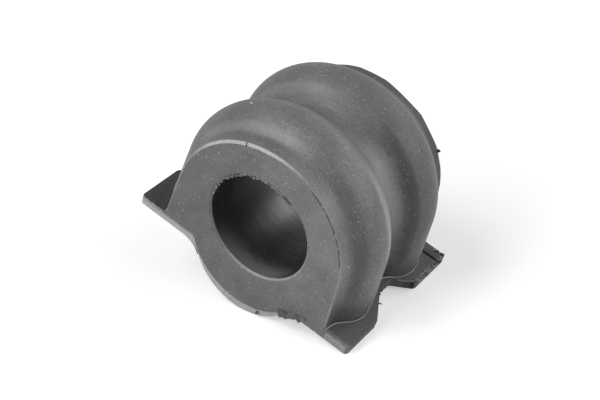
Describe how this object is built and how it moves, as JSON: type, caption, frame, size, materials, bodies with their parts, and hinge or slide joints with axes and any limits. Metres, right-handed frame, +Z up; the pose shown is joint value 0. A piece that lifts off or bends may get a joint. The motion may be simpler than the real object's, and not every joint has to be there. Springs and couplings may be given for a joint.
{
  "type": "rubber bush",
  "caption": "Moulded rubber bush for a stabiliser bar: half-round ribbed body with a straight bore, thin notched side wings and a round keel below.",
  "frame": {"origin": "middle of the bore, on its axis", "axes": "+Y along the bore to the rear, +Z up as the bush lies on its keel and right wing, +X to the right"},
  "size_m": [0.0559, 0.04, 0.0468],
  "materials": {
    "rubber": "matte moulded black rubber, slightly dusty, paler where flash was trimmed"
  },
  "bodies": {
    "root": {"bush": "rubber"}
  },
  "joints": []
}
